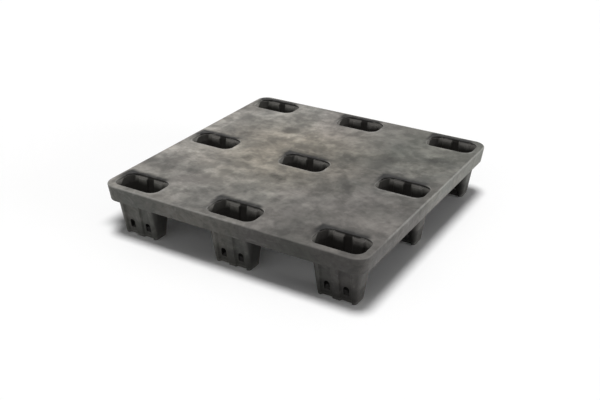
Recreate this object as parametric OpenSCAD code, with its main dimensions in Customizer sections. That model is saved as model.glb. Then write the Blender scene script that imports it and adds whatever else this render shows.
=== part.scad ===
// Nestable plastic pallet, moulded in one piece: a closed deck with a skirt,
// nine hollow tapered legs that are open at the top, and ribs under the deck.
// The pallet stands on z = 0, centred on the origin. The long side of the leg
// pockets runs along X.

/* [Deck] */
// Length of the deck, along X
deck_l = 800; // [700:10:1200]
// Width of the deck, along Y
deck_w = 800; // [780:10:1200]
// Overall height, from the floor to the top of the deck
height = 155; // [135:1:170]
// Thickness of the deck plate
deck_t = 4; // [3:0.5:8]
// Radius of the deck's corners, seen from above
corner_r = 38; // [20:1:60]
// Radius of the rounded top edge
edge_r = 5; // [2:0.5:8]

/* [Skirt] */
// Height of the skirt, from its bottom edge to the top of the deck
skirt_h = 48; // [30:1:60]
// Thickness of the skirt at its bottom edge
skirt_t = 4; // [3:0.5:8]
// How far the skirt leans inwards at its bottom edge
skirt_lean = 6; // [2:0.5:10]

/* [Legs] */
// Distance between leg centres, along X
pitch_x = 308; // [280:1:320]
// Distance between leg centres, along Y
pitch_y = 340; // [320:1:345]
// Length of a pocket at the deck, along X
pocket_l = 144; // [142:1:160]
// Width of a pocket at the deck, along Y
pocket_w = 82; // [76:1:90]
// Corner radius of a pocket at the deck
pocket_r = 26; // [22:1:27]
// Wall thickness of a leg
leg_t = 4; // [3:0.5:6]
// Thickness of the floor of a leg
foot_t = 5; // [3:0.5:10]
// Slope of the leg walls, in degrees from upright
draft = 7.9; // [5:0.1:9]
// Width of the bevelled lip around a pocket
lip = 3; // [1:0.5:4]
// Height of the bevel at the bottom edge of a leg
foot_bevel = 3; // [1:0.5:5]

/* [Flutes] */
// Distance from the middle of a leg to the middle of a flute
flute_x = 27; // [22:1:28]
// Width of a flute at the face of the wall
flute_w = 34; // [24:1:35]
// Depth of a flute
flute_d = 6.5; // [3:0.5:8]
// Distance from the deck down to the top of a flute, inside a pocket
flute_drop = 4.5; // [4:0.5:12]
// Height of the sloping top of a flute
flute_run = 5.5; // [3:0.5:8]

/* [Windows] */
// Width of a window near the foot of a leg
window_w = 16; // [8:1:20]
// Height of a window
window_h = 26; // [16:1:34]
// Distance from the floor to the bottom of a window
window_z = 20; // [8:1:30]
// Diameter of the drain hole in the floor of a leg
drain_d = 12; // [6:1:20]

/* [Ribs] */
// Thickness of a rib
rib_t = 3.5; // [2.5:0.5:6]
// Height of the ribs below the deck plate
rib_h = 30; // [15:1:34]
// Number of rib bays between leg centres, along X
bays_x = 3; // [2:1:4]
// Number of rib bays between leg centres, along Y
bays_y = 4; // [2:1:5]

/* [Hidden] */

// Corner steps of the leg and deck outlines
leg_steps = 4;
deck_steps = 7;
// Overlap of pieces that are joined, and overshoot of cutters
bite = 0.5;
clear = 1;

skirt_z = height - skirt_h;
plate_z = height - deck_t;
skirt_in_l = deck_l - 2 * (skirt_lean + skirt_t);
skirt_in_w = deck_w - 2 * (skirt_lean + skirt_t);
skirt_in_r = corner_r - skirt_lean - skirt_t;
slope = tan(draft);
flute_top = height - flute_drop;
// On the outside of a leg the tops of the flutes lie lower, to keep the wall's thickness.
outer_top = flute_top - 0.75 * leg_t;
cup_l = pocket_l + 2 * leg_t;
cup_w = pocket_w + 2 * leg_t;
cup_r = pocket_r + leg_t;
leg_columns = [-1, 0, 1];
leg_rows = [-1, 0, 1];

// Points of a rounded rectangle l by w. With a dip, each long side has two
// dips of that depth. Outlines made with the same steps pair up point by point.
function arc_points(cx, cy, r, from, steps) =
    [for (i = [0 : steps]) let (a = from + 90 * i / steps) [cx + r * cos(a), cy + r * sin(a)]];
function dip_points(x, y, side, dip) =
    [for (k = [1, 0.75, -0.75, -1]) [side * (x + k * flute_w / 2), side * (y - (abs(k) < 1 ? dip : 0))]];
function outline(l, w, r, steps, dip) =
    let (x = l / 2 - r, y = w / 2 - r)
    concat(
        arc_points(x, y, r, 0, steps),
        dip < 0 ? [] : dip_points(flute_x, w / 2, 1, dip),
        dip < 0 ? [] : dip_points(-flute_x, w / 2, 1, dip),
        arc_points(-x, y, r, 90, steps),
        arc_points(-x, -y, r, 180, steps),
        dip < 0 ? [] : dip_points(flute_x, w / 2, -1, dip),
        dip < 0 ? [] : dip_points(-flute_x, w / 2, -1, dip),
        arc_points(x, -y, r, 270, steps));

// A closed solid through rings, from the bottom up. A ring is
// [z, inset, dip], and the inset shrinks the l by w outline on every side.
module loft(l, w, r, steps, rings) {
    outlines = [for (g = rings) outline(l - 2 * g[1], w - 2 * g[1], max(r - g[1], 0.5), steps, g[2])];
    n = len(outlines[0]);
    last = len(rings) - 1;
    points = [for (k = [0 : last]) for (p = outlines[k]) [p[0], p[1], rings[k][0]]];
    sides = [for (k = [0 : last - 1]) for (i = [0 : n - 1])
        let (j = (i + 1) % n) [k * n + i, (k + 1) * n + i, (k + 1) * n + j, k * n + j]];
    // The ends are strips between mirrored points, because a dip makes them hollow.
    strips = [for (i = [0 : n / 2 - 2]) [i, i + 1, n - 2 - i, n - 1 - i]];
    top_strips = [for (q = strips) [for (i = [3 : -1 : 0]) last * n + q[i]]];
    polyhedron(points, concat(strips, top_strips, sides), convexity = 8);
}

// How far a wall with the legs' slope has moved in at height z
function drawn_in(z) = (height - z) * slope;

// The outer form of a leg
module leg_body() {
    loft(cup_l, cup_w, cup_r, leg_steps, [
        [0, drawn_in(0) + foot_bevel / 2, flute_d],
        [foot_bevel, drawn_in(foot_bevel), flute_d],
        [outer_top - flute_run, drawn_in(outer_top - flute_run), flute_d],
        [outer_top, drawn_in(outer_top), 0],
        [height - deck_t / 2, drawn_in(height - deck_t / 2), 0]]);
}

// The hollow of a leg, open through the deck. The flutes stand into it as pads.
module leg_hollow() {
    loft(pocket_l, pocket_w, pocket_r, leg_steps, [
        [foot_t, drawn_in(foot_t) + foot_bevel / 2, flute_d],
        [foot_t + foot_bevel, drawn_in(foot_t + foot_bevel), flute_d],
        [flute_top - flute_run, drawn_in(flute_top - flute_run), flute_d],
        [flute_top, drawn_in(flute_top), 0],
        [height - lip, drawn_in(height - lip), 0],
        [height, -lip, 0],
        [height + clear, -lip, 0]]);
}

// The deck plate with its skirt, hollow underneath
module deck() {
    lean_z = height - edge_r;
    difference() {
        loft(deck_l, deck_w, corner_r, deck_steps, concat(
            [[skirt_z, skirt_lean, -1]],
            [for (a = [0 : 30 : 90]) [lean_z + edge_r * sin(a), edge_r * (1 - cos(a)), -1]]));
        translate([0, 0, skirt_z - clear])
            rounded_block(skirt_in_l, skirt_in_w, skirt_in_r, plate_z - skirt_z + clear);
    }
}

// An upright block with rounded corners, centred in X and Y
module rounded_block(l, w, r, h) {
    linear_extrude(h) {
        square([l - 2 * r, w], center = true);
        square([l, w - 2 * r], center = true);
        for (x = [-1, 1]) for (y = [-1, 1])
            translate([x * (l / 2 - r), y * (w / 2 - r)]) circle(r, $fn = 48);
    }
}

// The grid of ribs under the deck plate, let into the plate and the skirt
module ribs() {
    z = plate_z - rib_h;
    h = rib_h + bite;
    l = skirt_in_l + skirt_t;
    w = skirt_in_w + skirt_t;
    for (i = [-bays_x : bays_x])
        translate([i * pitch_x / bays_x - rib_t / 2, -w / 2, z]) cube([rib_t, w, h]);
    for (j = [-bays_y : bays_y])
        translate([-l / 2, j * pitch_y / bays_y - rib_t / 2, z]) cube([l, rib_t, h]);
}

// The windows through both long walls of a leg, and the drain through its floor
module leg_holes() {
    reach = cup_w / 2;
    for (side = [-1, 1])
        translate([side * flute_x - window_w / 2, reach, window_z]) rotate([90, 0, 0])
            linear_extrude(2 * reach) {
                square([window_w, window_h - window_w / 2]);
                translate([window_w / 2, window_h - window_w / 2]) circle(d = window_w, $fn = 32);
            }
    translate([0, 0, -clear]) cylinder(d = drain_d, h = foot_t + 2 * clear, $fn = 32);
}

// The whole moulding
module pallet() {
    color("#4b4c4a") difference() {
        union() {
            deck();
            ribs();
            for (i = leg_columns) for (j = leg_rows)
                translate([i * pitch_x, j * pitch_y, 0]) leg_body();
        }
        for (i = leg_columns) for (j = leg_rows) translate([i * pitch_x, j * pitch_y, 0]) {
            leg_hollow();
            leg_holes();
        }
    }
}

pallet();
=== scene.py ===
"""A nestable pallet, moulded in one piece of grey reclaimed plastic, on a pale floor."""

from math import radians, sin, tan

import bmesh
import bpy
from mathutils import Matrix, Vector


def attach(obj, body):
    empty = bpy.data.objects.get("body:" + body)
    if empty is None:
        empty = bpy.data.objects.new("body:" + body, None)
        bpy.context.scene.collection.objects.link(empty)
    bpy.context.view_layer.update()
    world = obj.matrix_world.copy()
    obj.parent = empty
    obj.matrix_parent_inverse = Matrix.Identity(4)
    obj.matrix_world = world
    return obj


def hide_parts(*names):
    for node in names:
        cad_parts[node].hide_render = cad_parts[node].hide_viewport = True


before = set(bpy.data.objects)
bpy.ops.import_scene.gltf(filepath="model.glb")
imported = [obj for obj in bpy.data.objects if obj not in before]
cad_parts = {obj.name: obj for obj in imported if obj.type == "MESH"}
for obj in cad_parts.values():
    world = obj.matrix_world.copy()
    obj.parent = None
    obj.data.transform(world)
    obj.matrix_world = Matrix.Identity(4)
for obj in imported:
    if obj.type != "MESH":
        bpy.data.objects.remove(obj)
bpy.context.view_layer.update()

# The pallet is modelled in millimetres and made metres at the end. The floor is
# z = 0, and the long side of the pockets runs along X.
MM = 0.001
DECK_SIDE = 800
DECK_TOP = 155
DECK_UNDERSIDE = 151
DECK_CORNER = 38
DECK_CORNER_STEPS = 12
EDGE_START = 150
EDGE_RADIUS = 5
SKIRT_BOTTOM = 107
SKIRT_LEAN = 6
# Radius at the skirt's bottom edge, and where it meets the underside of the deck
SKIRT_EDGE = 1.3
SKIRT_ROOT = 1.4
WALL = 4
LEG_COLUMNS = (-308, 0, 308)
LEG_ROWS = (-340, 0, 340)
WALL_SLOPE = tan(radians(7.9))
FOOT_THICKNESS = 5
POCKET_LENGTH = 144
POCKET_WIDTH = 82
POCKET_CORNER = 26
# Radius of the rounded lip of a pocket
POCKET_LIP = 3.5
FLUTE_MIDDLE = 27
FLUTE_DEPTH = 6.5
# Half width of a flute, and the share of its depth that is reached there
FLUTE_SIDE = ((12.6, 1.0), (13.9, 0.88), (15.6, 0.45), (17.0, 0.08))
# Height down the sloping top of a flute, and the share reached there
FLUTE_TOP = ((149.9, 0.08), (147.8, 0.5), (145.7, 0.92), (144.7, 1.0))
# How much lower the tops of the flutes lie on the outside of a leg
OUTER_TOP_DROP = 3
WINDOW_WIDTH = 16
WINDOW_HEIGHT = 26
WINDOW_BOTTOM = 20
DRAIN_RADIUS = 6
RIB_THICKNESS = 3.5
RIB_BOTTOM = 121
# Height of the softened lower edge of a rib
RIB_EDGE = 0.8
# The rib grid reaches into the skirt and the deck plate, and is joined to them there.
RIB_GRID_SIDE = 784
RIB_GRID_TOP = 153
RIBS_ACROSS_X = [LEG_COLUMNS[2] / 3 * k for k in range(-3, 4)]
RIBS_ACROSS_Y = [LEG_ROWS[2] / 4 * k for k in range(-4, 5)]

# Darker and paler marks on the deck: x, y, half length, half width, turn, strength. Most are stains and
# wear; the three long narrow dark marks at y = 56 are painted shade behind the back rims of the middle
# pockets.
DARK_MARKS = (
    (-252, 98, 34, 26, 0, 1.0),
    (93, 103, 34, 20, -40, 0.9),
    (112, 30, 24, 16, -50, 0.8),
    (165, -62, 100, 17, -60, 0.6),
    (205, 135, 26, 36, 10, 0.7),
    (314, 200, 38, 24, 20, 0.9),
    (-158, 184, 32, 26, 0, 0.9),
    (-230, -206, 38, 28, 15, 0.9),
    (-310, -226, 28, 18, 0, 0.6),
    (-160, -54, 26, 18, 0, 0.6),
    (-12, -118, 30, 20, 0, 0.8),
    (196, -102, 32, 26, -50, 0.7),
    (142, -162, 26, 16, 30, 0.6),
    (228, -318, 24, 34, -20, 0.6),
    # These three long narrow marks are painted shade behind the back rims of the middle pockets.
    (-12, 56, 84, 13, 0, 0.9),
    (-300, 56, 70, 11, 0, 0.7),
    (258, 56, 50, 11, 0, 0.7),
    (-265, 102, 90, 60, 0, 0.72),
    (-235, -245, 120, 55, 0, 0.44),
    (-140, -300, 80, 36, 0, 0.4),
    (252, -185, 100, 70, 0, 0.32),
    (-150, -12, 45, 60, 0, 0.32),
)
PALE_MARKS = (
    (386, 174, 22, 30, 0, 1.0),
    (278, 133, 28, 22, 0, 0.8),
    (-228, 2, 18, 40, 0, 0.8),
    (-378, 96, 26, 60, 0, 0.85),
    (-378, -146, 26, 64, 0, 0.8),
    (-314, -96, 50, 22, 0, 0.7),
    (-266, 288, 28, 18, 0, 0.6),
    (-114, 140, 40, 28, -40, 0.7),
    (-102, 88, 30, 20, 0, 0.6),
    (-122, -139, 30, 24, 0, 1.0),
    (-68, -80, 44, 18, 20, 0.9),
    (-54, -176, 30, 20, 0, 0.6),
    (34, -226, 28, 18, 0, 0.6),
    (158, -226, 24, 16, 0, 0.6),
    (272, -52, 40, 16, 0, 0.7),
    (-10, -70, 80, 34, 10, 0.55),
    (-20, 125, 90, 44, -10, 0.36),
    (-364, 236, 30, 60, 0, 0.5),
    (165, 330, 60, 60, 0, 0.25),
)

# Colours of the plastic, of what lies on it, and of the painted light and shade
PLASTIC_DARK = (0.108, 0.107, 0.098)
PLASTIC_PALE = (0.182, 0.173, 0.157)
GREENISH_PATCH = (0.120, 0.128, 0.116)
WARM_PATCH = (0.172, 0.158, 0.152)
DARK_SPECK = (0.075, 0.074, 0.070)
PALE_SPECK = (0.250, 0.243, 0.228)
DUST = (0.305, 0.280, 0.254)
STAIN = (0.085, 0.080, 0.072)
SCUFF = (0.340, 0.330, 0.312)
# From here on: pale worn edges with a painted highlight, painted shade behind the pockets, darkening on
# the legs that is partly painted shade, painted light on the pads in the pockets, and painted shade in
# the pockets and on the floors of the legs.
PALE_EDGE_AND_HIGHLIGHT = (0.330, 0.322, 0.306)
RIM_SHADE = (0.010, 0.0095, 0.009)
LEG_DARKENING = (0.030, 0.029, 0.027)
POCKET_PAINTED_LIGHT = (0.330, 0.318, 0.296)
POCKET_SHADE = (0.016, 0.0145, 0.013)
LEG_FLOOR_SHADE = (0.005, 0.0046, 0.0042)


def add_finish_slots(piece):
    """Gives a piece the two finish slots, so that they keep their order when pieces are joined or cut."""
    for finish in ("open_side", "pocket_side"):
        slot = bpy.data.materials.get(finish) or bpy.data.materials.new(finish)
        piece.data.materials.append(slot)


def start_plate(name, length, width, corner, height, corner_steps=8, face_down=False):
    """A rounded flat plate in edit mode, all selected: the start of each form."""
    bpy.ops.object.select_all(action="DESELECT")
    bpy.ops.mesh.primitive_plane_add(size=1, location=(0, 0, 0))
    plate = bpy.context.object
    plate.name = name
    add_finish_slots(plate)
    bpy.ops.object.mode_set(mode="EDIT")
    bpy.ops.mesh.select_all(action="SELECT")
    bpy.ops.transform.resize(value=(length, width, 1))
    bpy.ops.transform.translate(value=(0, 0, height))
    bpy.ops.mesh.bevel(offset=corner, segments=corner_steps, affect="VERTICES")
    bpy.ops.mesh.select_all(action="SELECT")
    if face_down:
        bpy.ops.mesh.flip_normals()
    return plate


def score_lines(places, direction=(1, 0, 0)):
    """Cuts the plate in edit mode along straight lines at those places."""
    for place in places:
        bpy.ops.mesh.select_all(action="SELECT")
        bpy.ops.mesh.bisect(plane_co=Vector(direction) * place, plane_no=direction)
    bpy.ops.mesh.select_all(action="SELECT")


def soft_section(corners, steps=4):
    """Points (inwards, height) of a section whose corners (inwards, height, radius) are rounded."""
    points = [Vector(corners[0][:2])]
    for before, corner, after in zip(corners, corners[1:], corners[2:]):
        tip = Vector(corner[:2])
        back = (Vector(before[:2]) - tip).normalized()
        on = (Vector(after[:2]) - tip).normalized()
        half = back.angle(on) / 2
        radius = corner[2]
        middle = tip + (back + on).normalized() * radius / sin(half)
        start = (tip + back * radius / tan(half) - middle) / radius
        end = (tip + on * radius / tan(half) - middle) / radius
        for k in range(steps + 1):
            point = middle + start.slerp(end, k / steps) * radius
            if (point - points[-1]).length > 0.02:
                points.append(point)
    points.append(Vector(corners[-1][:2]))
    return points


def sink_along(section):
    """Insets the selected plate ring by ring, so that its rings follow the section."""
    for here, there in zip(section, section[1:]):
        bpy.ops.mesh.inset(thickness=there.x - here.x, use_even_offset=True)
        bpy.ops.transform.translate(value=(0, 0, there.y - here.y))


def select_points(piece, wanted):
    """Selects the points of the piece in edit mode whose place is wanted."""
    bpy.ops.mesh.select_mode(type="VERT")
    bpy.ops.mesh.select_all(action="DESELECT")
    shape = bmesh.from_edit_mesh(piece.data)
    for point in shape.verts:
        point.select = wanted(point.co)
    shape.select_flush_mode()
    bmesh.update_edit_mesh(piece.data)


def press_flutes(piece, drop=0):
    """Presses two flutes into each long wall of a leg, with their tops lower by the drop."""
    lowest = FLUTE_TOP[-1][0] - drop
    for side in (-1, 1):
        for half_width, share in FLUTE_SIDE:
            for height, top_share in FLUTE_TOP:
                level = height - drop
                select_points(
                    piece,
                    lambda p: (abs(p.z - level) < 0.1 or level == lowest > p.z)
                    and p.y * side > 0
                    and abs(abs(abs(p.x) - FLUTE_MIDDLE) - half_width) < 0.1,
                )
                depth = FLUTE_DEPTH * share * top_share
                bpy.ops.transform.translate(value=(0, -side * depth, 0))


def flute_lines():
    """Where a leg's long walls are scored, so that the flutes have points to move."""
    return [
        column * (FLUTE_MIDDLE + turn * half_width)
        for column in (-1, 1)
        for turn in (-1, 1)
        for half_width, _ in FLUTE_SIDE
    ]


def leg_section(top, foot, margin, soft_top, soft_foot, drop=0):
    """The section of a leg's wall from a level down to its foot, with a ring at each height that the
    top of a flute needs. The wall starts at the margin from the edge of the plate, its two ends are
    rounded with the soft radii, and the section ends 4 further in, on the flat of the foot."""

    def wall(height):
        return margin + (DECK_TOP - height) * WALL_SLOPE, height

    highest, lowest = FLUTE_TOP[0][0] - drop, FLUTE_TOP[-1][0] - drop
    upper = soft_section([(0, top), (*wall(top), soft_top), wall(highest + 1)])
    lower = soft_section([wall(lowest - 1), (*wall(foot), soft_foot), (wall(foot)[0] + 4, foot)])
    return upper + [Vector(wall(height - drop)) for height, _ in FLUTE_TOP] + lower


def end_modelling():
    """Leaves edit mode with nothing selected."""
    bpy.ops.mesh.select_all(action="DESELECT")
    bpy.ops.object.mode_set(mode="OBJECT")


def make_active(piece):
    """Selects this piece alone."""
    bpy.ops.object.select_all(action="DESELECT")
    piece.select_set(True)
    bpy.context.view_layer.objects.active = piece


def repeat_at_legs(piece):
    """Copies the piece to all nine leg places and joins the copies into one mesh."""
    copies = []
    for x in LEG_COLUMNS:
        for y in LEG_ROWS:
            make_active(piece)
            bpy.ops.object.duplicate()
            bpy.ops.transform.translate(value=(x, y, 0))
            bpy.ops.object.transform_apply(location=True, rotation=False, scale=False)
            copies.append(bpy.context.object)
    bpy.data.objects.remove(piece)
    return join_pieces(copies)


def join_pieces(several):
    """Joins pieces into the first of them."""
    make_active(several[0])
    for one in several[1:]:
        one.select_set(True)
    bpy.ops.object.join()
    return bpy.context.object


def close_level(piece, height):
    """Fills the flat between the open rings that lie at that height."""
    bpy.ops.object.mode_set(mode="EDIT")
    bpy.ops.mesh.select_mode(type="EDGE")
    bpy.ops.mesh.select_all(action="DESELECT")
    shape = bmesh.from_edit_mesh(piece.data)
    for edge in shape.edges:
        level = all(abs(point.co.z - height) < 0.01 for point in edge.verts)
        edge.select = level and edge.is_boundary
    bmesh.update_edit_mesh(piece.data)
    bpy.ops.mesh.fill(use_beauty=True)
    end_modelling()


def cut_or_add(piece, tool, operation):
    """Cuts the tool out of the piece, or adds it, and takes the tool away."""
    make_active(piece)
    modifier = piece.modifiers.new(operation, "BOOLEAN")
    modifier.operation = operation
    modifier.solver = "EXACT"
    modifier.object = tool
    bpy.ops.object.modifier_apply(modifier=modifier.name)
    bpy.data.objects.remove(tool)


def deck_from_above():
    """The rounded edge of the deck, open in the middle, and the nine pockets that go down from it."""
    rim = start_plate(
        "deck_rim", DECK_SIDE, DECK_SIDE, DECK_CORNER, EDGE_START, DECK_CORNER_STEPS
    )
    edge = [(0, EDGE_START), (0, DECK_TOP, EDGE_RADIUS), (EDGE_RADIUS + 2, DECK_TOP)]
    sink_along(soft_section(edge, steps=6))
    bpy.ops.mesh.delete(type="FACE")
    end_modelling()

    # The plate starts 4.5 outside the nominal pocket, where the deck is still flat.
    margin = 4.5
    length, width = POCKET_LENGTH + 2 * margin, POCKET_WIDTH + 2 * margin
    pocket = start_plate("pocket", length, width, POCKET_CORNER + margin, DECK_TOP)
    score_lines(flute_lines())
    sink_along(leg_section(DECK_TOP, FOOT_THICKNESS, margin, soft_top=POCKET_LIP, soft_foot=4))
    press_flutes(pocket)
    end_modelling()

    for face in pocket.data.polygons:
        face.material_index = 1 if face.center.z < DECK_TOP - 2 else 0
    skin = join_pieces([rim, repeat_at_legs(pocket)])
    close_level(skin, DECK_TOP)
    return skin


def deck_from_below():
    """The skirt, the underside of the deck and the outside of the nine legs."""
    skirt = start_plate(
        "skirt", DECK_SIDE, DECK_SIDE, DECK_CORNER, EDGE_START, DECK_CORNER_STEPS, face_down=True
    )
    # The skirt gets 1.5 thicker up to the deck, and its section ends on the flat underside.
    inside = SKIRT_LEAN + WALL
    skirt_section = [
        (0, EDGE_START),
        (SKIRT_LEAN, SKIRT_BOTTOM, SKIRT_EDGE),
        (inside, SKIRT_BOTTOM, SKIRT_EDGE),
        (inside + 1.5, DECK_UNDERSIDE, SKIRT_ROOT),
        (inside + 3.3, DECK_UNDERSIDE),
    ]
    sink_along(soft_section(skirt_section))
    bpy.ops.mesh.delete(type="FACE")
    end_modelling()

    # The outer legs come close to the skirt, so the flat around them is narrow here.
    margin = 1.2
    length, width = POCKET_LENGTH + 2 * (WALL + margin), POCKET_WIDTH + 2 * (WALL + margin)
    corner = POCKET_CORNER + WALL + margin
    leg = start_plate("leg", length, width, corner, DECK_UNDERSIDE, face_down=True)
    score_lines(flute_lines())
    sink_along(
        leg_section(DECK_UNDERSIDE, 0, margin, soft_top=1.5, soft_foot=3, drop=OUTER_TOP_DROP)
    )
    press_flutes(leg, OUTER_TOP_DROP)
    end_modelling()

    skin = join_pieces([skirt, repeat_at_legs(leg)])
    close_level(skin, DECK_UNDERSIDE)
    return skin


def rib_grid():
    """The grid of ribs under the deck, cut free where the legs come through."""
    grid = start_plate("ribs", RIB_GRID_SIDE, RIB_GRID_SIDE, 30, RIB_GRID_TOP)
    score_lines(RIBS_ACROSS_X)
    score_lines(RIBS_ACROSS_Y, (0, 1, 0))
    bpy.ops.mesh.inset(thickness=RIB_THICKNESS / 2, use_individual=True)
    bpy.ops.mesh.delete(type="FACE")
    bpy.ops.mesh.select_all(action="SELECT")
    depth = RIB_GRID_TOP - RIB_BOTTOM - RIB_EDGE
    bpy.ops.mesh.extrude_region_move(TRANSFORM_OT_translate={"value": (0, 0, -depth)})
    bpy.ops.mesh.select_all(action="SELECT")
    bpy.ops.mesh.normals_make_consistent(inside=False)
    select_points(grid, lambda p: p.z < RIB_BOTTOM + 1)
    bpy.ops.mesh.inset(thickness=0.35, depth=0.55)
    bpy.ops.mesh.inset(thickness=0.45, depth=RIB_EDGE - 0.55)
    end_modelling()

    # A core ends in the middle of a leg's wall, and the ribs end there too.
    top, bottom = DECK_TOP + 1, RIB_BOTTOM - 5
    length, width, corner = POCKET_LENGTH + WALL, POCKET_WIDTH + WALL, POCKET_CORNER + WALL / 2
    core = start_plate("leg_core", length, width, corner, top, face_down=True)
    sink_along([Vector((0, top)), Vector(((top - bottom) * WALL_SLOPE, bottom))])
    select_points(core, lambda p: p.z > top - 0.5)
    bpy.ops.mesh.edge_face_add()
    bpy.ops.mesh.select_all(action="SELECT")
    bpy.ops.mesh.normals_make_consistent(inside=False)
    end_modelling()
    cut_or_add(grid, repeat_at_legs(core), "DIFFERENCE")
    return grid


def leg_cutters():
    """Solids that cut the windows through both long walls of a leg, and the drain through its floor."""
    middle = WINDOW_BOTTOM + WINDOW_HEIGHT / 2
    reach = POCKET_WIDTH / 2 + WALL + 1
    cutters = []
    for side in (-1, 1):
        bpy.ops.object.select_all(action="DESELECT")
        bpy.ops.mesh.primitive_plane_add(size=1, location=(0, 0, 0))
        window = bpy.context.object
        window.name = "window"
        add_finish_slots(window)
        bpy.ops.object.mode_set(mode="EDIT")
        bpy.ops.mesh.select_all(action="SELECT")
        bpy.ops.transform.resize(value=(WINDOW_WIDTH, WINDOW_HEIGHT, 1))
        bpy.ops.transform.rotate(value=radians(90), orient_axis="X", center_override=(0, 0, 0))
        bpy.ops.transform.translate(value=(side * FLUTE_MIDDLE, reach, middle))
        select_points(window, lambda p: p.z > middle)
        bpy.ops.mesh.bevel(offset=WINDOW_WIDTH / 2 - 0.1, segments=8, affect="VERTICES")
        select_points(window, lambda p: p.z < WINDOW_BOTTOM + 1)
        bpy.ops.mesh.bevel(offset=2, segments=3, affect="VERTICES")
        bpy.ops.mesh.select_all(action="SELECT")
        bpy.ops.mesh.extrude_region_move(TRANSFORM_OT_translate={"value": (0, -2 * reach, 0)})
        bpy.ops.mesh.select_all(action="SELECT")
        bpy.ops.mesh.normals_make_consistent(inside=False)
        end_modelling()
        cutters.append(window)
    bpy.ops.mesh.primitive_cylinder_add(
        vertices=32, radius=DRAIN_RADIUS, depth=12, location=(0, 0, FOOT_THICKNESS / 2)
    )
    bpy.ops.object.transform_apply(location=True, rotation=False, scale=False)
    add_finish_slots(bpy.context.object)
    cutters.append(bpy.context.object)
    cutter = join_pieces(cutters)
    for face in cutter.data.polygons:
        face.material_index = 1
    return repeat_at_legs(cutter)


def make_pallet():
    """The whole moulding as one closed shell."""
    pallet = join_pieces([deck_from_above(), deck_from_below()])
    pallet.name = "pallet_moulding"
    bpy.ops.object.mode_set(mode="EDIT")
    bpy.ops.mesh.select_all(action="SELECT")
    bpy.ops.mesh.remove_doubles(threshold=0.01)
    bpy.ops.mesh.normals_make_consistent(inside=False)
    end_modelling()
    cut_or_add(pallet, rib_grid(), "UNION")
    cut_or_add(pallet, leg_cutters(), "DIFFERENCE")
    bpy.ops.object.mode_set(mode="EDIT")
    bpy.ops.mesh.select_all(action="SELECT")
    bpy.ops.transform.resize(value=(MM, MM, MM), center_override=(0, 0, 0))
    end_modelling()
    make_active(pallet)
    bpy.ops.object.shade_smooth_by_angle(angle=radians(32))
    return pallet


class Nodes:
    """Adds nodes to a shader tree. Its patterns are laid over the place, a point of the piece."""

    def __init__(self, tree, place=None):
        self.tree = tree
        self.place = place

    def feed(self, socket, value):
        """Joins an output to an input socket, or sets the socket to a number or colour."""
        if isinstance(value, bpy.types.NodeSocket):
            self.tree.links.new(value, socket)
        else:
            socket.default_value = value

    def add(self, kind, values=(), **settings):
        """A node with its properties set, then its inputs fed by name or number."""
        node = self.tree.nodes.new("ShaderNode" + kind)
        for key, value in settings.items():
            setattr(node, key, value)
        for key, value in dict(values).items():
            self.feed(node.inputs[key], value)
        return node

    def ramp(self, value, low, high, out_low=0.0, out_high=1.0):
        """A smooth step of a value."""
        limits = {"From Min": low, "From Max": high, "To Min": out_low, "To Max": out_high}
        node = self.add("MapRange", {"Value": value, **limits}, interpolation_type="SMOOTHSTEP")
        return node.outputs["Result"]

    def math(self, operation, *values):
        """A Math node between outputs or numbers."""
        return self.add("Math", enumerate(values), operation=operation).outputs[0]

    def vector_math(self, operation, *values):
        """A Vector Math node between outputs or vectors."""
        return self.add("VectorMath", enumerate(values), operation=operation).outputs[0]

    def times(self, *values):
        """The product of some values."""
        total = values[0]
        for value in values[1:]:
            total = self.math("MULTIPLY", total, value)
        return total

    def plus(self, first, second):
        """The sum of two values."""
        return self.math("ADD", first, second)

    def less(self, first, second):
        """The first value less the second."""
        return self.math("SUBTRACT", first, second)

    def most(self, *values):
        """The highest of some values."""
        total = values[0]
        for value in values[1:]:
            total = self.math("MAXIMUM", total, value)
        return total

    def noise(self, scale, detail, roughness=0.6, at=None, output="Fac"):
        """Noise over the place, or over another vector."""
        values = {"Scale": scale, "Detail": detail, "Roughness": roughness}
        node = self.add("TexNoise", {"Vector": at or self.place, **values})
        return node.outputs[output]

    def around_zero(self, scale, detail, width):
        """Noise that adds or takes away up to about half of the width."""
        return self.times(self.less(self.noise(scale, detail), 0.5), width)

    def split(self, vector):
        """The X, Y and Z of a vector."""
        return self.add("SeparateXYZ", {0: vector}).outputs

    def blend(self, under, over, share, method="MIX"):
        """Lays a colour over another. A colour is an output or (red, green, blue)."""
        under, over = ((*c, 1) if isinstance(c, tuple) else c for c in (under, over))
        values = {"Factor": share, 6: under, 7: over}
        return self.add("Mix", values, data_type="RGBA", blend_type=method).outputs[2]

    def use(self, group, values=()):
        """Lays a node group over the place and gives its outputs."""
        return self.add("Group", {"Place": self.place, **dict(values)}, node_tree=group).outputs


def new_group(name, inputs, outputs):
    """A node group with named sockets. Every group has a Place, and other inputs are (name, kind,
    value). Gives the means to add nodes, the outputs of its start and the inputs of its end."""
    group = bpy.data.node_groups.new(name, "ShaderNodeTree")
    for label, kind, value in [("Place", "Vector", None), *inputs]:
        socket = group.interface.new_socket(
            name=label, in_out="INPUT", socket_type="NodeSocket" + kind
        )
        if value is not None:
            socket.default_value = value
    for label, kind in outputs:
        group.interface.new_socket(name=label, in_out="OUTPUT", socket_type="NodeSocket" + kind)
    start = group.nodes.new("NodeGroupInput").outputs
    end = group.nodes.new("NodeGroupOutput").inputs
    return Nodes(group, start["Place"]), start, end


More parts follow.
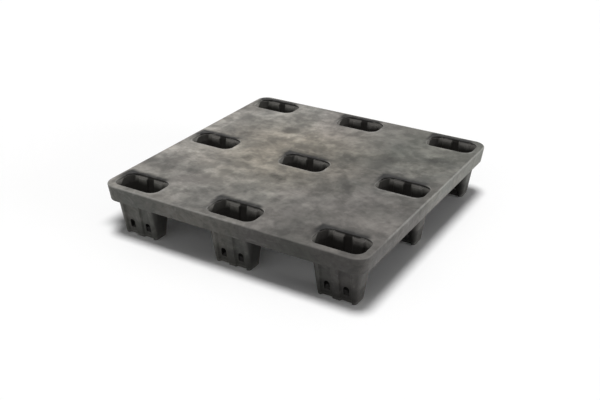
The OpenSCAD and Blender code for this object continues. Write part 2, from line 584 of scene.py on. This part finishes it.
def regrind_mottle():
    """Cloudy patches and small specks in plastic made from mixed regrind."""
    nodes, start, end = new_group(
        "regrind_mottle",
        [("Patch Scale", "Float", 9.0)],
        [("Broad", "Float"), ("Patches", "Float"), ("Specks", "Float")],
    )
    bend = nodes.noise(5.0, 3.0, 0.55, output="Color")
    push = nodes.vector_math("MULTIPLY", bend, (0.16, 0.16, 0.16))
    bent = nodes.vector_math("ADD", start["Place"], push)
    nodes.feed(end["Broad"], nodes.ramp(nodes.noise(2.6, 2.0, 0.5), 0.36, 0.64))
    patch = nodes.add(
        "TexNoise",
        {
            "Vector": bent,
            "Scale": start["Patch Scale"],
            "Detail": 4.0,
            "Roughness": 0.58,
            "Lacunarity": 2.2,
        },
    )
    nodes.feed(end["Patches"], nodes.ramp(patch.outputs["Fac"], 0.33, 0.67))
    nodes.feed(end["Specks"], nodes.ramp(nodes.noise(48.0, 3.0, 0.6, at=bent), 0.3, 0.7))
    return nodes.tree


def mould_grain():
    """The fine pebbled skin of a foamed moulding, as a height."""
    nodes, start, end = new_group("mould_grain", [("Scale", "Float", 520.0)], [("Height", "Float")])
    pebble = nodes.noise(start["Scale"], 3.0, 0.6)
    swell = nodes.noise(26.0, 2.0, 0.5)
    pit = nodes.add("TexVoronoi", {"Vector": start["Place"], "Scale": 210.0})
    pits = nodes.ramp(pit.outputs["Distance"], 0.0, 0.16, -0.6, 0.0)
    nodes.feed(end["Height"], nodes.plus(nodes.plus(pebble, pits), nodes.times(swell, 2.2)))
    return nodes.tree


def handling_scuffs():
    """Thin scratches in several directions, gathered in patches where loads slide."""
    nodes, start, end = new_group("handling_scuffs", [("Amount", "Float", 0.6)], [("Scuffs", "Float")])
    scratches = []
    for angle, stretch, shift in ((14, 150, 0.0), (-37, 120, 3.1), (81, 170, 7.7), (52, 100, 12.4)):
        turned = nodes.add(
            "Mapping",
            {
                "Vector": start["Place"],
                "Location": (shift, shift, 0),
                "Rotation": (0, 0, radians(angle)),
                "Scale": (7, stretch, 40),
            },
        )
        lines = nodes.noise(2.0, 2.0, 0.5, at=turned.outputs[0])
        scratches.append(nodes.ramp(lines, 0.66, 0.74))
    patches = nodes.ramp(nodes.noise(6.5, 3.0, 0.55), 0.45, 0.62)
    scuffs = nodes.times(nodes.most(*scratches), patches, start["Amount"])
    nodes.feed(end["Scuffs"], scuffs)
    return nodes.tree


def settled_dust():
    """Pale dust on faces that look up, thicker in some places, with small dark stains."""
    nodes, start, end = new_group(
        "settled_dust", [("Normal", "Vector", None)], [("Dust", "Float"), ("Stains", "Float")]
    )
    upward = nodes.ramp(nodes.split(start["Normal"])["Z"], 0.35, 0.95)
    patches = nodes.ramp(nodes.noise(4.2, 6.0, 0.62), 0.34, 0.68, 0.35, 1.0)
    fine = nodes.ramp(nodes.noise(90.0, 2.0, 0.7), 0.3, 0.75, 0.7, 1.0)
    nodes.feed(end["Dust"], nodes.times(upward, nodes.times(patches, fine)))
    nodes.feed(end["Stains"], nodes.ramp(nodes.noise(17.0, 5.0, 0.65), 0.62, 0.76))
    return nodes.tree


def old_marks(name, marks):
    """Soft irregular marks at listed places on the deck. A mark is (x, y, half length, half width,
    turn in degrees, strength), in millimetres."""
    nodes, start, end = new_group(name, [], [("Marks", "Float")])
    bend = nodes.noise(24.0, 3.0, 0.6, output="Color")
    push = nodes.vector_math("SUBTRACT", bend, (0.5, 0.5, 0.5))
    bent = nodes.vector_math("MULTIPLY_ADD", push, (0.06, 0.06, 0.0), start["Place"])
    soft_marks = []
    for x, y, long, wide, turn, strength in marks:
        moved = nodes.add(
            "Mapping",
            {
                "Vector": bent,
                "Location": (x / 1000, y / 1000, DECK_TOP / 1000),
                "Rotation": (0, 0, radians(turn)),
                "Scale": (long / 1000, wide / 1000, 0.05),
            },
            vector_type="TEXTURE",
        )
        away = nodes.add("VectorMath", {0: moved.outputs[0]}, operation="LENGTH")
        soft_marks.append(nodes.ramp(away.outputs["Value"], 1.35, 0.3, 0.0, strength))
    nodes.feed(end["Marks"], nodes.most(*soft_marks))
    return nodes.tree


def around_legs():
    """Where a spot lies from the nearest leg: how far along X and across in Y, how far outside its
    pocket's rim, whether between its two pads, and whether on its end walls. The legs repeat, so the
    place is folded onto one leg."""
    names = ("Along", "Across", "Outside Rim", "Between Pads", "End Wall")
    nodes, start, end = new_group("around_legs", [], [(name, "Float") for name in names])
    place = nodes.split(start["Place"])

    def fold(axis, pitch, pocket_side):
        """A place from the leg's middle, how far out it is, and how far past the straight wall."""
        half_pitch = pitch / 2000
        straight = (pocket_side / 2 - POCKET_CORNER) / 1000
        folded = nodes.math("WRAP", place[axis], half_pitch, -half_pitch)
        out = nodes.math("ABSOLUTE", folded)
        return folded, out, nodes.math("MAXIMUM", nodes.less(out, straight), 0)

    x, out_x, past_x = fold("X", LEG_COLUMNS[2], POCKET_LENGTH)
    y, _, past_y = fold("Y", LEG_ROWS[2], POCKET_WIDTH)
    square = nodes.plus(nodes.math("POWER", past_x, 2), nodes.math("POWER", past_y, 2))
    rim_radius = (POCKET_CORNER + POCKET_LIP) / 1000
    off_middle = nodes.math("ABSOLUTE", nodes.plus(x, 0.003))
    values = (
        x,
        y,
        nodes.less(nodes.math("SQRT", square), rim_radius),
        nodes.ramp(off_middle, 0.013, 0.009),
        nodes.ramp(out_x, 0.051, 0.059),
    )
    for name, value in zip(names, values):
        nodes.feed(end[name], value)
    return nodes.tree


class Spot:
    """What the wear, the dirt and the painted light and shade at a spot depend on: its place and the way
    it faces, its place from the nearest leg with a ragged border to it, and how finely the marks are
    broken there."""

    def __init__(self, nodes, normal, legs):
        place = nodes.split(nodes.place)
        leg = nodes.use(legs)
        ragged = nodes.around_zero(38, 3, 0.014)
        self.x, self.y, self.z = (place[axis] for axis in "XYZ")
        self.facing = nodes.split(normal)
        self.along_leg = nodes.plus(leg["Along"], ragged)
        self.across_leg = nodes.plus(leg["Across"], ragged)
        self.outside_rim = leg["Outside Rim"]
        self.between_pads = leg["Between Pads"]
        self.end_wall = leg["End Wall"]
        self.fine = nodes.noise(60, 4, 0.7)

    def widen(self, nodes):
        """Adds whether the spot is on the deck's upper face, and a loose place for broad areas of lighter
        and darker paint, partly painted light and shade, whose borders wander."""
        faces_up = nodes.ramp(self.facing["Z"], 0.5, 0.9)
        self.top_face = nodes.times(faces_up, nodes.ramp(self.z, 0.148, 0.152))
        loose = nodes.around_zero(4.5, 3, 0.7)
        self.across = nodes.plus(self.x, loose)
        self.along = nodes.plus(self.y, loose)


def regrind_colour(nodes, mottle):
    """The plastic itself: two greys in patches, greenish and warm clouds, dark and pale specks."""
    specks = mottle["Specks"]
    colour = nodes.blend(PLASTIC_DARK, PLASTIC_PALE, mottle["Patches"])
    colour = nodes.blend(colour, GREENISH_PATCH, nodes.times(mottle["Broad"], 0.55))
    warm = nodes.ramp(nodes.noise(3.4, 2, 0.5), 0.50, 0.66)
    colour = nodes.blend(colour, WARM_PATCH, nodes.times(warm, 0.6))
    colour = nodes.blend(colour, DARK_SPECK, nodes.times(nodes.ramp(specks, 0.45, 0.0), 0.4))
    return nodes.blend(colour, PALE_SPECK, nodes.times(nodes.ramp(specks, 0.62, 1.0), 0.3))


def painted_shade_and_tone(nodes, spot, groups):
    """How much lighter or darker each spot is painted. The deck is paler to the left and the back and has
    its marks. The skirt and the legs are paler on the left; faces looking to the front get painted shade
    towards the right, and faces looking to the right get painted light towards the back of the right
    side."""
    on_deck = nodes.times(
        nodes.ramp(spot.across, -0.26, 0.24, 1.28, 0.73),
        nodes.ramp(spot.across, -0.34, -0.12, 0.95, 1.0),
        nodes.ramp(spot.along, -0.42, -0.08, 0.82, 1.0),
        nodes.ramp(spot.along, 0.05, 0.32, 1.0, 1.12),
        nodes.ramp(nodes.noise(7.5, 3, 0.5), 0.38, 0.62, 0.80, 1.17),
        nodes.ramp(nodes.noise(23, 4, 0.6), 0.35, 0.65, 0.72, 1.22),
        nodes.ramp(nodes.use(groups["dark"])["Marks"], 0.0, 1.0, 1.0, 0.52),
        nodes.ramp(nodes.use(groups["pale"])["Marks"], 0.0, 1.0, 1.0, 1.5),
    )
    # Faces looking to the front are darkened as painted shade, and faces looking to the right are
    # lightened as painted light.
    front = nodes.ramp(spot.facing["Y"], -0.4, -0.8)
    right = nodes.ramp(spot.facing["X"], 0.4, 0.8)
    darker = nodes.times(front, nodes.ramp(spot.across, -0.10, 0.22), 0.24)
    lit_right = nodes.times(right, nodes.ramp(spot.along, -0.36, -0.05), 0.52)
    on_skirt = nodes.ramp(spot.z, 0.098, 0.112)
    lit_right_skirt = nodes.times(right, nodes.ramp(spot.along, -0.10, 0.22), on_skirt, 0.65)
    elsewhere = nodes.times(
        nodes.ramp(spot.across, -0.40, 0.36, 1.66, 1.02),
        nodes.less(1, darker),
        nodes.plus(1, lit_right),
        nodes.plus(1, lit_right_skirt),
    )
    return nodes.plus(elsewhere, nodes.times(nodes.less(on_deck, elsewhere), spot.top_face))


def tint_deck(nodes, colour, top_face):
    """Warm dust in the middle of the deck, and a little green film at its back right."""
    for middle, reach, tint in (
        ((-0.07, 0.03, 0.155), 0.34, (1.05, 1.0, 0.915)),
        ((0.25, 0.26, 0.155), 0.30, (0.97, 1.01, 0.97)),
    ):
        away = nodes.add("VectorMath", {0: nodes.place, 1: middle}, operation="DISTANCE")
        near = nodes.ramp(away.outputs["Value"], reach, 0.06)
        colour = nodes.blend(colour, tint, nodes.times(near, top_face), "MULTIPLY")
    return colour


def pale_rims_wear_and_highlight(nodes, spot):
    """Where the edge of the deck and the near rims of the pockets are painted pale, partly as worn edges
    and partly as a painted highlight, less so at the deck's near right corner."""
    rounded = nodes.ramp(spot.facing["Z"], 0.995, 0.90)
    edge = nodes.times(nodes.ramp(spot.z, 0.1485, 0.1535), rounded)
    pale_near_rim = nodes.times(
        nodes.times(nodes.ramp(spot.outside_rim, 0.009, 0.003), spot.top_face),
        nodes.times(
            nodes.ramp(spot.across_leg, 0.012, -0.010), nodes.ramp(spot.along_leg, -0.070, -0.050)
        ),
        nodes.ramp(nodes.noise(14, 4), 0.42, 0.56),
        0.7,
    )
    near_corner = nodes.times(
        nodes.ramp(spot.along, -0.22, -0.34), nodes.ramp(spot.across, 0.0, 0.12)
    )
    return nodes.times(
        nodes.most(edge, pale_near_rim),
        nodes.ramp(spot.fine, 0.3, 0.62, 0.3, 1.0),
        nodes.ramp(near_corner, 0.0, 1.0, 1.0, 0.2),
    )


def shade_behind_pockets(nodes, spot):
    """A band of painted shade on the deck behind each pocket and round its back left corner."""
    behind = nodes.times(
        nodes.ramp(spot.across_leg, 0.062, 0.044),
        nodes.ramp(spot.across_leg, 0.0, 0.022),
        nodes.ramp(spot.along_leg, -0.089, -0.077),
        nodes.ramp(spot.along_leg, 0.062, 0.042),
    )
    left_rim = nodes.times(
        nodes.ramp(spot.outside_rim, 0.012, 0.0),
        nodes.ramp(spot.along_leg, -0.060, -0.074),
        nodes.ramp(spot.across_leg, -0.02, 0.012, 0.3, 0.85),
    )
    return nodes.times(
        nodes.most(behind, left_rim),
        nodes.ramp(spot.z, 0.148, 0.1505),
        nodes.ramp(spot.fine, 0.3, 0.6, 0.85, 1.0),
    )


def darker_low_legs_shaded_ends(nodes, spot):
    """The lower part of a leg darker, more so to the right, but not its sole, and painted shade on its
    end walls under the deck.
    """
    low = nodes.times(
        nodes.ramp(spot.z, 0.062, 0.040),
        nodes.ramp(spot.z, 0.004, 0.012),
        nodes.ramp(spot.fine, 0.2, 0.6, 0.55, 1.0),
        nodes.ramp(spot.x, -0.30, 0.30, 0.44, 0.78),
    )
    sheltered = nodes.ramp(nodes.math("ABSOLUTE", spot.x), 0.372, 0.340, 0.35, 0.85)
    ends = nodes.times(spot.end_wall, nodes.ramp(spot.z, 0.108, 0.088), sheltered)
    return nodes.most(low, ends)


def weathered_plastic(groups):
    """Grey reclaimed plastic, mottled, scuffed, dusty and stained, with painted light and shade: all that
    the two finishes share.
    """
    nodes, start, end = new_group(
        "weathered_plastic",
        [("Normal", "Vector", None)],
        [("Colour", "Color"), ("Roughness", "Float"), ("Scuffs", "Float")],
    )
    normal = start["Normal"]
    spot = Spot(nodes, normal, groups["legs"])
    spot.widen(nodes)
    mottle = nodes.use(groups["mottle"])
    dust = nodes.use(groups["dust"], {"Normal": normal})
    scuffs = nodes.use(groups["scuffs"], {"Amount": 0.5})["Scuffs"]

    colour = regrind_colour(nodes, mottle)
    colour = nodes.blend(colour, DUST, nodes.times(dust["Dust"], 0.44))
    colour = nodes.blend(colour, STAIN, nodes.times(dust["Stains"], spot.top_face, 0.5))
    colour = nodes.blend(colour, SCUFF, nodes.times(scuffs, 0.5))
    shade = painted_shade_and_tone(nodes, spot, groups)
    shaded = nodes.add("VectorMath", {0: colour, "Scale": shade}, operation="SCALE")
    colour = tint_deck(nodes, shaded.outputs[0], spot.top_face)
    painted_pale = pale_rims_wear_and_highlight(nodes, spot)
    # Pale edges and near rims: partly wear, partly a painted highlight.
    colour = nodes.blend(colour, PALE_EDGE_AND_HIGHLIGHT, nodes.times(painted_pale, 0.55))
    # Painted shade behind the pockets and round their back left corners.
    colour = nodes.blend(colour, RIM_SHADE, shade_behind_pockets(nodes, spot))
    # Legs darker low down, and painted shade on their end walls under the deck.
    nodes.feed(end["Colour"], nodes.blend(colour, LEG_DARKENING, darker_low_legs_shaded_ends(nodes, spot)))

    rough = nodes.ramp(mottle["Patches"], 0.0, 1.0, 0.52, 0.62)
    rough = nodes.plus(rough, nodes.times(dust["Dust"], 0.12))
    nodes.feed(end["Roughness"], nodes.less(rough, nodes.times(painted_pale, 0.1)))
    nodes.feed(end["Scuffs"], scuffs)
    return nodes.tree


def pocket_light_and_shade(nodes, colour, normal, legs):
    """The inside of a pocket: painted light near the top of the pads, and painted shade lower down,
    between the pads, on the end walls and under the back lip, darkest on the floor of the leg."""
    spot = Spot(nodes, normal, legs)
    uneven = nodes.plus(spot.z, nodes.around_zero(38, 3, 0.016))
    between = nodes.times(spot.between_pads, nodes.ramp(spot.z, 0.1535, 0.150))
    out = nodes.math("ABSOLUTE", spot.along_leg)
    painted_pale = nodes.times(
        nodes.ramp(uneven, 0.1520, 0.1485),
        nodes.ramp(uneven, 0.127, 0.147),
        nodes.less(1, between),
        nodes.ramp(out, 0.012, 0.055, 0.42, 0.9),
        nodes.ramp(spot.fine, 0.25, 0.55, 0.45, 1.0),
        nodes.ramp(spot.along_leg, -0.01, 0.02, 0.82, 1.0),
    )
    # Painted light where light falls on the upper part of the pads.
    colour = nodes.blend(colour, POCKET_PAINTED_LIGHT, painted_pale)

    under_lip = nodes.times(
        nodes.ramp(spot.z, 0.1548, 0.1525),
        nodes.ramp(uneven, 0.1480, 0.1515),
        nodes.ramp(spot.across_leg, 0.010, 0.026),
        0.8,
    )
    sloping = nodes.ramp(spot.facing["Z"], 0.25, 0.6)
    ledge = nodes.times(sloping, nodes.ramp(spot.z, 0.1515, 0.1505))
    deep = nodes.most(nodes.ramp(uneven, 0.150, 0.126), nodes.times(ledge, 0.75))
    back_left = nodes.times(
        nodes.ramp(spot.across_leg, -0.014, 0.010), nodes.ramp(spot.along_leg, 0.02, -0.02)
    )
    end_level = nodes.plus(uneven, nodes.times(nodes.less(1, back_left), 0.015))
    end = nodes.times(spot.end_wall, nodes.ramp(end_level, 0.1535, 0.147), 0.92)
    # Painted shade under the back lip, deeper down, between the pads and on the end walls.
    pocket_shade = nodes.most(under_lip, deep, between, end)
    colour = nodes.blend(colour, POCKET_SHADE, nodes.times(pocket_shade, 0.94))
    # Painted shade on the floor of the leg, which the overhead lamp would light.
    return nodes.blend(colour, LEG_FLOOR_SHADE, nodes.ramp(spot.z, 0.030, 0.012))


def reclaimed_plastic(name, groups, in_pocket):
    """One of the two finishes: the open plastic, or the duller inside of the pockets with its painted
    light and shade.
    """
    material = bpy.data.materials.new(name)
    material.use_nodes = True
    material.node_tree.nodes.clear()
    nodes = Nodes(material.node_tree)
    nodes.place = nodes.add("TexCoord").outputs["Object"]
    normal = nodes.add("NewGeometry").outputs["Normal"]
    plastic = nodes.use(groups["weathered"], {"Normal": normal})
    colour = plastic["Colour"]
    if in_pocket:
        colour = pocket_light_and_shade(nodes, colour, normal, groups["legs"])
    grain = nodes.use(groups["grain"])["Height"]
    grained = nodes.add("Bump", {"Strength": 0.35, "Distance": 0.0005, "Height": grain})
    scratches = {"Strength": 0.4, "Distance": 0.0003, "Height": plastic["Scuffs"]}
    scored = nodes.add("Bump", {**scratches, "Normal": grained.outputs[0]}, invert=True)
    surface = nodes.add(
        "BsdfPrincipled",
        {
            "Base Color": colour,
            "Roughness": plastic["Roughness"],
            "Normal": scored.outputs[0],
            "IOR": 1.47,
            "Specular IOR Level": 0.14 if in_pocket else 0.28,
        },
    )
    nodes.add("OutputMaterial", {"Surface": surface.outputs[0]})
    return material


def dress_pallet(piece):
    """Gives the moulding its two finishes: the open plastic, and the inside of the pockets with its
    painted light and shade.
    """
    groups = {
        "mottle": regrind_mottle(),
        "grain": mould_grain(),
        "scuffs": handling_scuffs(),
        "dust": settled_dust(),
        "dark": old_marks("dark_marks", DARK_MARKS),
        "pale": old_marks("pale_marks", PALE_MARKS),
        "legs": around_legs(),
    }
    groups["weathered"] = weathered_plastic(groups)
    piece.data.materials[0] = reclaimed_plastic("reclaimed_plastic", groups, False)
    piece.data.materials[1] = reclaimed_plastic("shaded_plastic_in_pockets", groups, True)


def seen_directly(nodes):
    """1 for rays that show the background itself: straight, mirrored or through glass."""
    path = nodes.add("LightPath").outputs
    return nodes.most(path["Is Camera Ray"], path["Is Glossy Ray"], path["Is Transmission Ray"])


def side_shadow(nodes):
    """A soft second shadow on the floor along the left side of the pallet, as a darkness."""
    place = nodes.split(nodes.add("TexCoord").outputs["Object"])
    x, y = place["X"], place["Y"]
    beside = nodes.times(nodes.ramp(x, -0.478, -0.404), nodes.ramp(x, -0.350, -0.395))
    length = nodes.times(nodes.ramp(y, -0.385, -0.315), nodes.ramp(y, 0.44, 0.36))
    return nodes.times(beside, length, 0.85)


def make_floor():
    """A wide pale floor that takes the pallet's shadow and gives back little light from below."""
    bpy.ops.object.select_all(action="DESELECT")
    bpy.ops.mesh.primitive_plane_add(size=30, location=(0, 0, -0.0002))
    bpy.ops.object.transform_apply(location=True, rotation=False, scale=False)
    floor = bpy.context.object
    floor.name = "floor"
    material = bpy.data.materials.new("pale_floor")
    material.use_nodes = True
    nodes = Nodes(material.node_tree)
    seen = nodes.less(1.0, side_shadow(nodes))
    unseen = (0.22, 0.22, 0.22)
    paint = material.node_tree.nodes["Principled BSDF"].inputs
    nodes.feed(paint["Roughness"], 1.0)
    nodes.feed(paint["Specular IOR Level"], 0.0)
    nodes.feed(paint["Base Color"], nodes.blend(unseen, seen, seen_directly(nodes)))
    floor.data.materials.append(material)


def light_room():
    """White surroundings, a soft light overhead, a softer one from the right, and a faint wide one
    from the front."""
    world = bpy.data.worlds.new("room")
    bpy.context.scene.world = world
    world.use_nodes = True
    world.node_tree.nodes.clear()
    nodes = Nodes(world.node_tree)
    strength = nodes.ramp(seen_directly(nodes), 0, 1, 0.16, 1.0)
    shine = nodes.add("Background", {"Color": (1, 1, 1, 1), "Strength": strength})
    nodes.add("OutputWorld", {"Surface": shine.outputs[0]})
    for name, towards, spread, power in (
        ("overhead", (-0.005, -0.04, 1.0), 17, 2.5),
        ("from_the_right", (1.0, 0.10, 0.06), 34, 1.25),
        ("from_the_front", (-0.2, -1.0, 0.35), 60, 0.23),
    ):
        lamp = bpy.data.lights.new(name, "SUN")
        lamp.angle = radians(spread)
        lamp.energy = power
        holder = bpy.data.objects.new(name, lamp)
        bpy.context.scene.collection.objects.link(holder)
        holder.rotation_euler = Vector(towards).to_track_quat("Z", "Y").to_euler()


def set_camera():
    """Stands the camera at the front right of the pallet, looking down on it."""
    lens = bpy.data.cameras.new("camera")
    lens.sensor_width = 36
    lens.lens = 52.42
    lens.clip_start = 0.05
    camera = bpy.data.objects.new("camera", lens)
    bpy.context.scene.collection.objects.link(camera)
    stand, aim = Vector((1.1594, -1.9441, 1.1842)), Vector((0.1112, -0.2070, 0.154))
    camera.location = stand
    camera.rotation_euler = (aim - stand).to_track_quat("-Z", "Y").to_euler()
    bpy.context.scene.camera = camera


pallet = make_pallet()
dress_pallet(pallet)
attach(pallet, "root")
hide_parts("pallet")
make_floor()
light_room()
set_camera()
bpy.context.scene.view_settings.view_transform = "Standard"
